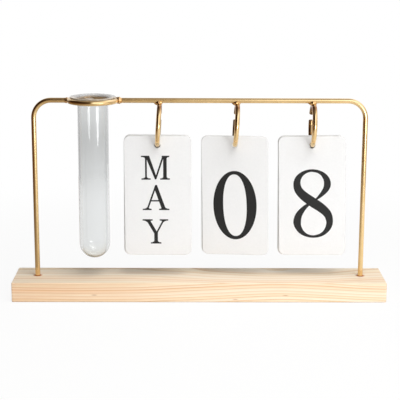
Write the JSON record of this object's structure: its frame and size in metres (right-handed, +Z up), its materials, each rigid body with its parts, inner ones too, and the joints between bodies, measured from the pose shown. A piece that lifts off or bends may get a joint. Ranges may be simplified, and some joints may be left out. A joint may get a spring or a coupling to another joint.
{
  "type": "desk calendar",
  "caption": "Perpetual desk calendar: bent wire frame on a wooden bar, with month and day cards that flip on open rings and a lift-out glass tube vase.",
  "frame": {"origin": "middle of the base's underside", "axes": "+X along the base with the vase at -X, -Y towards the reader, +Z up"},
  "size_m": [0.3, 0.045, 0.1626],
  "materials": {
    "pine": "planed and lightly sanded, unvarnished",
    "gold_wire": "bright gold-coloured plating",
    "clear_glass": "clear, fire-polished lip",
    "card_stock": "matt white sheet, printed on both sides"
  },
  "bodies": {
    "frame": {"wooden_base": "pine", "left_leg_wire": "gold_wire", "right_bow_wire": "gold_wire", "vase_ring": "gold_wire", "month_hook": "gold_wire", "tens_hook": "gold_wire", "units_hook": "gold_wire", "weld_beads": "gold_wire"},
    "glass_tube": {"glass_tube": "clear_glass"},
    "month_card_1": {"month_card_1": "card_stock"},
    "month_card_2": {"month_card_2": "card_stock"},
    "month_card_3": {"month_card_3": "card_stock"},
    "month_card_4": {"month_card_4": "card_stock"},
    "month_card_5": {"month_card_5": "card_stock"},
    "month_card_6": {"month_card_6": "card_stock"},
    "tens_card_1": {"tens_card_1": "card_stock"},
    "tens_card_2": {"tens_card_2": "card_stock"},
    "units_card_1": {"units_card_1": "card_stock"},
    "units_card_2": {"units_card_2": "card_stock"},
    "units_card_3": {"units_card_3": "card_stock"},
    "units_card_4": {"units_card_4": "card_stock"},
    "units_card_5": {"units_card_5": "card_stock"}
  },
  "joints": [
    {"name": "tube_lift", "type": "slide", "parent": "frame", "child": "glass_tube", "axis": [0, 0, 1], "range_m": [0, 0.14]},
    {"name": "month_card_6_swing", "type": "hinge", "parent": "frame", "child": "month_card_6", "pos_m": [-0.03269, 0, 0.14007], "axis": [-0.9983, 0, 0.0576], "range_deg": [-30, 20]},
    {"name": "month_card_5_flip", "type": "hinge", "parent": "month_card_6", "child": "month_card_5", "pos_m": [-0.03269, 0, 0.14007], "axis": [-0.9983, 0, 0.0576], "range_deg": [0, 10]},
    {"name": "month_card_4_flip", "type": "hinge", "parent": "month_card_5", "child": "month_card_4", "pos_m": [-0.03269, 0, 0.14007], "axis": [-0.9983, 0, 0.0576], "range_deg": [0, 10]},
    {"name": "month_card_3_flip", "type": "hinge", "parent": "month_card_4", "child": "month_card_3", "pos_m": [-0.03269, 0, 0.14007], "axis": [-0.9983, 0, 0.0576], "range_deg": [0, 10]},
    {"name": "month_card_2_flip", "type": "hinge", "parent": "month_card_3", "child": "month_card_2", "pos_m": [-0.03269, 0, 0.14007], "axis": [-0.9983, 0, 0.0576], "range_deg": [0, 10]},
    {"name": "month_card_1_flip", "type": "hinge", "parent": "month_card_2", "child": "month_card_1", "pos_m": [-0.03269, 0, 0.14007], "axis": [-0.9983, 0, 0.0576], "range_deg": [0, 90]},
    {"name": "tens_card_2_swing", "type": "hinge", "parent": "frame", "child": "tens_card_2", "pos_m": [0.02886, 0, 0.14007], "axis": [-0.9981, 0, 0.061], "range_deg": [-30, 20]},
    {"name": "tens_card_1_flip", "type": "hinge", "parent": "tens_card_2", "child": "tens_card_1", "pos_m": [0.02886, 0, 0.14007], "axis": [-0.9981, 0, 0.061], "range_deg": [0, 130]},
    {"name": "units_card_5_swing", "type": "hinge", "parent": "frame", "child": "units_card_5", "pos_m": [0.08984, 0, 0.14009], "axis": [-0.9996, 0, 0.0279], "range_deg": [-30, 20]},
    {"name": "units_card_4_flip", "type": "hinge", "parent": "units_card_5", "child": "units_card_4", "pos_m": [0.08984, 0, 0.14009], "axis": [-0.9996, 0, 0.0279], "range_deg": [0, 13.33]},
    {"name": "units_card_3_flip", "type": "hinge", "parent": "units_card_4", "child": "units_card_3", "pos_m": [0.08984, 0, 0.14009], "axis": [-0.9996, 0, 0.0279], "range_deg": [0, 13.33]},
    {"name": "units_card_2_flip", "type": "hinge", "parent": "units_card_3", "child": "units_card_2", "pos_m": [0.08984, 0, 0.14009], "axis": [-0.9996, 0, 0.0279], "range_deg": [0, 13.33]},
    {"name": "units_card_1_flip", "type": "hinge", "parent": "units_card_2", "child": "units_card_1", "pos_m": [0.08984, 0, 0.14009], "axis": [-0.9996, 0, 0.0279], "range_deg": [0, 90]}
  ]
}
